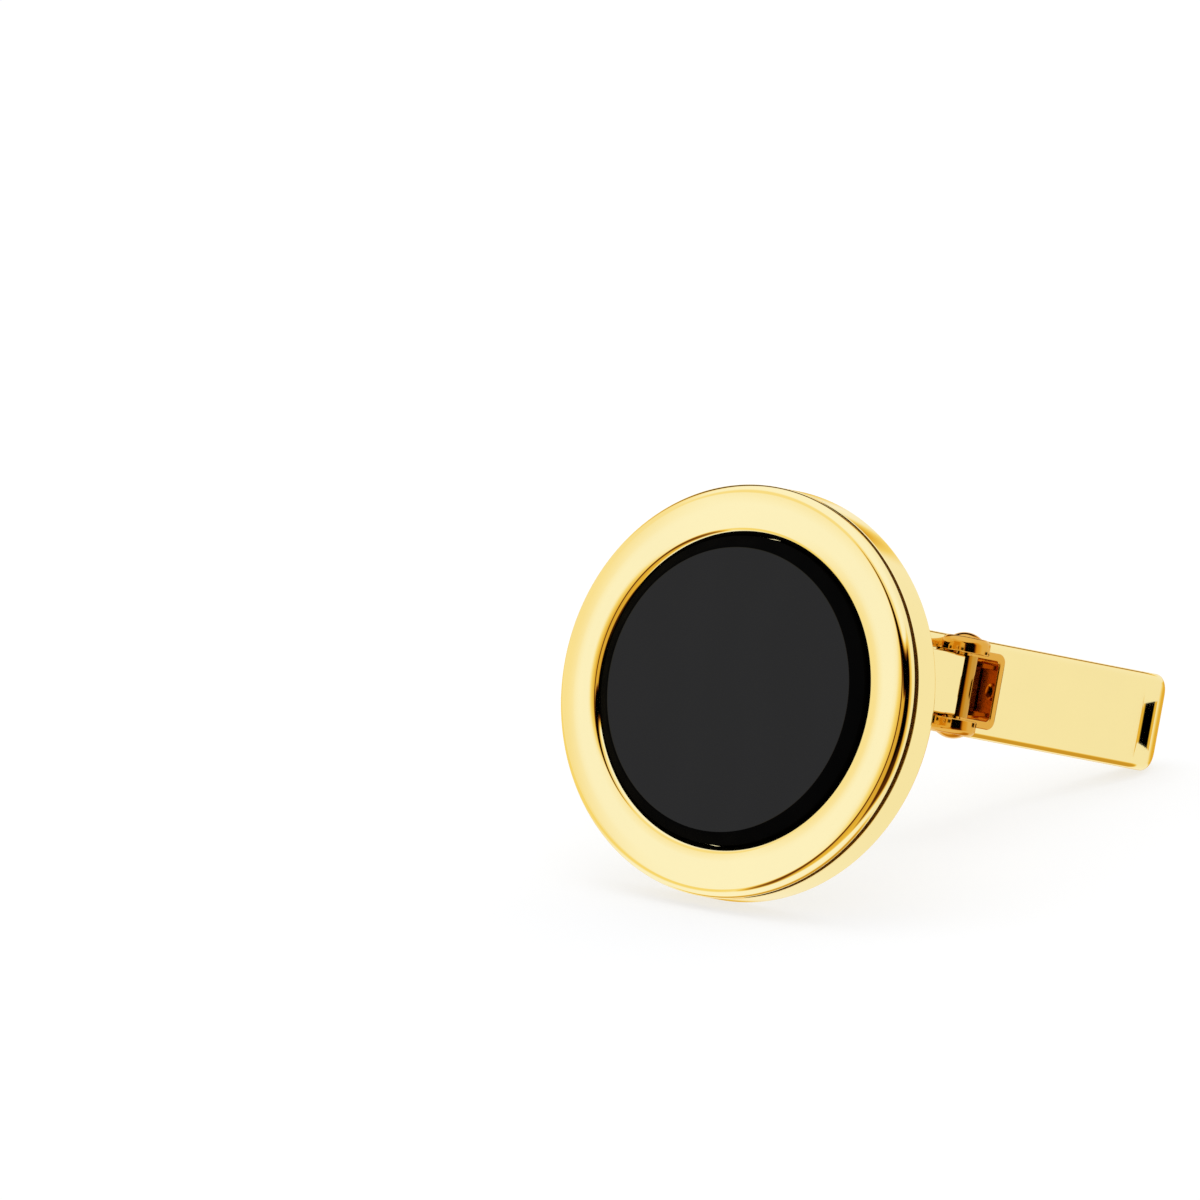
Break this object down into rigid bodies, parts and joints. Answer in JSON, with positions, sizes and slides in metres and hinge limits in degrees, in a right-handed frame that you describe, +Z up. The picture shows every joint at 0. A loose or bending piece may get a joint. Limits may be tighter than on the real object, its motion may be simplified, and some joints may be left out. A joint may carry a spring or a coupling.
{
  "type": "cufflink",
  "caption": "Round stone-set cufflink with a bowed arm and a long swivel toggle held by a leaf spring in a riveted hinge.",
  "frame": {"origin": "on the table, under the middle of the link's box, with the link balanced, as pictured, on its head's rear rim and the toggle's outer corner", "axes": "+Z up from the table; +Y from the head back to the toggle's outer end, along the table; +X across, to the side that the hinge pocket faces; the stone faces -Y and slightly up"},
  "size_m": [0.0178, 0.0314, 0.0173],
  "materials": {
    "polished_gold": "mirror polished yellow gold plate",
    "deep_gold": "polished yellow gold plate, less bright in the hinge",
    "spring_gold": "satin gold plated spring strip",
    "black_onyx": "polished black onyx",
    "cement": "set jeweller's cement"
  },
  "bodies": {
    "head": {"bezel_ring": "polished_gold", "onyx_disc": "black_onyx", "stone_cement": "cement", "back_plate": "polished_gold", "arm": "polished_gold", "arm_knuckle": "deep_gold"},
    "toggle": {"hinge_pin": "deep_gold", "hinge_bracket": "deep_gold", "toggle_shell": "polished_gold", "toggle_cover": "polished_gold", "leaf_spring": "spring_gold", "spring_rivet": "deep_gold"}
  },
  "joints": [
    {"name": "toggle_turn", "type": "hinge", "parent": "head", "child": "toggle", "pos_m": [0.00175, 0.00168, 0.00628], "axis": [0, -0.3199, -0.9475], "range_deg": [0, 90], "deforming": ["leaf_spring"]}
  ]
}
